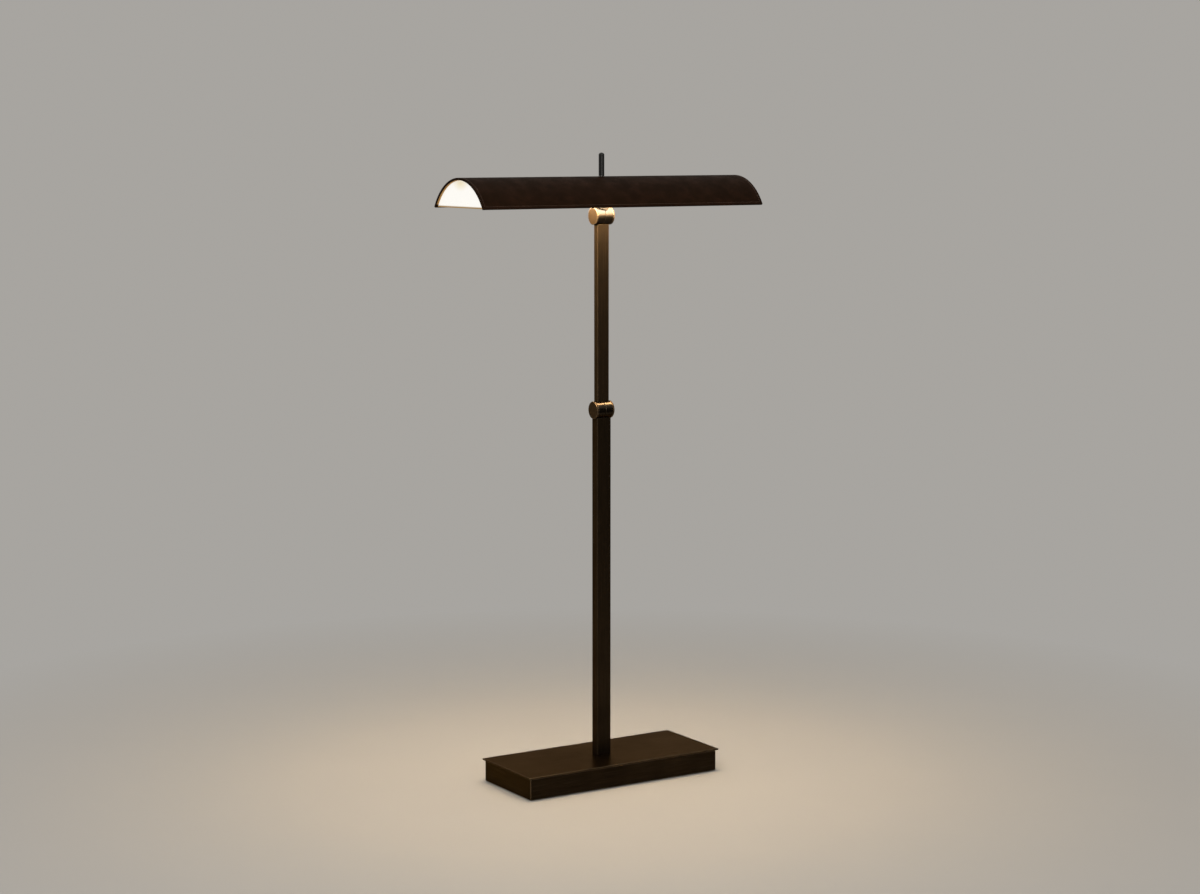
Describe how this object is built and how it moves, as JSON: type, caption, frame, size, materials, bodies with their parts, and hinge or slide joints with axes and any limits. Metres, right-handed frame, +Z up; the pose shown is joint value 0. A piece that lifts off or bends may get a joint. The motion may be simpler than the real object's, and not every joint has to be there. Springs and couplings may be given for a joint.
{
  "type": "floor lamp",
  "caption": "Reading floor lamp: weighted box base, rectangular post with friction elbow, tilting leather-covered trough shade with opal light tray and a dimmer stick on top.",
  "frame": {"origin": "centre of the base on the floor, straight below the post", "axes": "+X along the shade and the base, -Y to the front, +Z up along the post"},
  "size_m": [0.65, 0.195, 1.2684],
  "materials": {
    "bronze_sheet": "satin dark bronze",
    "bronze_barrel": "polished antique bronze",
    "cast_ballast": "raw casting",
    "dark_steel": "black coating",
    "bright_steel": "zinc plated",
    "foot_rubber": "matte",
    "lead_jacket": "matte",
    "white_case": "matte",
    "washer_fibre": "matte",
    "raw_aluminium": "satin",
    "white_shell": "white powder coat",
    "brown_leather": "waxed, cloudy dark brown",
    "opal_acrylic": "satin opal, lit from inside",
    "black_gloss": "polished black"
  },
  "bodies": {
    "stand": {"base_top_plate": "bronze_sheet", "base_skirt": "bronze_sheet", "base_ballast": "cast_ballast", "base_bottom_cover": "dark_steel", "base_foot_pads": "foot_rubber", "base_cover_screws": "bright_steel", "cord_grommet": "foot_rubber", "power_supply": "white_case", "post_foot_block": "bright_steel", "post_washer": "bright_steel", "post_nut": "bright_steel", "lower_post_tube": "bronze_sheet", "post_grub_screws": "dark_steel", "post_lead": "lead_jacket", "elbow_lower_half": "bronze_barrel", "elbow_lower_cap": "bronze_barrel", "elbow_pivot_bolt": "bright_steel", "elbow_lock_nut": "bright_steel", "elbow_disc_spring": "bright_steel", "elbow_friction_washer": "washer_fibre"},
    "arm": {"elbow_upper_half": "bronze_barrel", "elbow_upper_cap": "bronze_barrel", "upper_post_tube": "bronze_sheet", "arm_grub_screws": "dark_steel", "arm_lead": "lead_jacket", "tilt_lower_half": "bronze_barrel", "tilt_lower_cap": "bronze_barrel", "tilt_pivot_bolt": "bright_steel", "tilt_lock_nut": "bright_steel", "tilt_disc_spring": "bright_steel", "tilt_friction_washer": "washer_fibre"},
    "head": {"tilt_upper_half": "bronze_barrel", "tilt_upper_cap": "bronze_barrel", "neck_tube": "bronze_barrel", "neck_screws": "bright_steel", "neck_lead": "lead_jacket", "light_bar": "raw_aluminium", "led_boards": "white_case", "shade_shell": "white_shell", "shell_studs": "bright_steel", "shell_nuts": "bright_steel", "shade_leather": "brown_leather", "opal_tray": "opal_acrylic", "tray_standoffs": "raw_aluminium", "tray_screws": "bright_steel", "dimmer_module": "washer_fibre", "dimmer_nut": "bright_steel"},
    "dimmer": {"dimmer_shaft": "bright_steel", "dimmer_stick": "black_gloss"}
  },
  "joints": [
    {"name": "elbow_tilt", "type": "hinge", "parent": "stand", "child": "arm", "pos_m": [0, 0, 0.755], "axis": [1, 0, 0], "range_deg": [-90, 90]},
    {"name": "shade_tilt", "type": "hinge", "parent": "arm", "child": "head", "pos_m": [0, 0, 1.143], "axis": [1, 0, 0], "range_deg": [-90, 90]},
    {"name": "dimmer_turn", "type": "hinge", "parent": "head", "child": "dimmer", "pos_m": [0, 0, 1.2219], "axis": [0, 0, 1], "range_deg": [0, 270]}
  ]
}
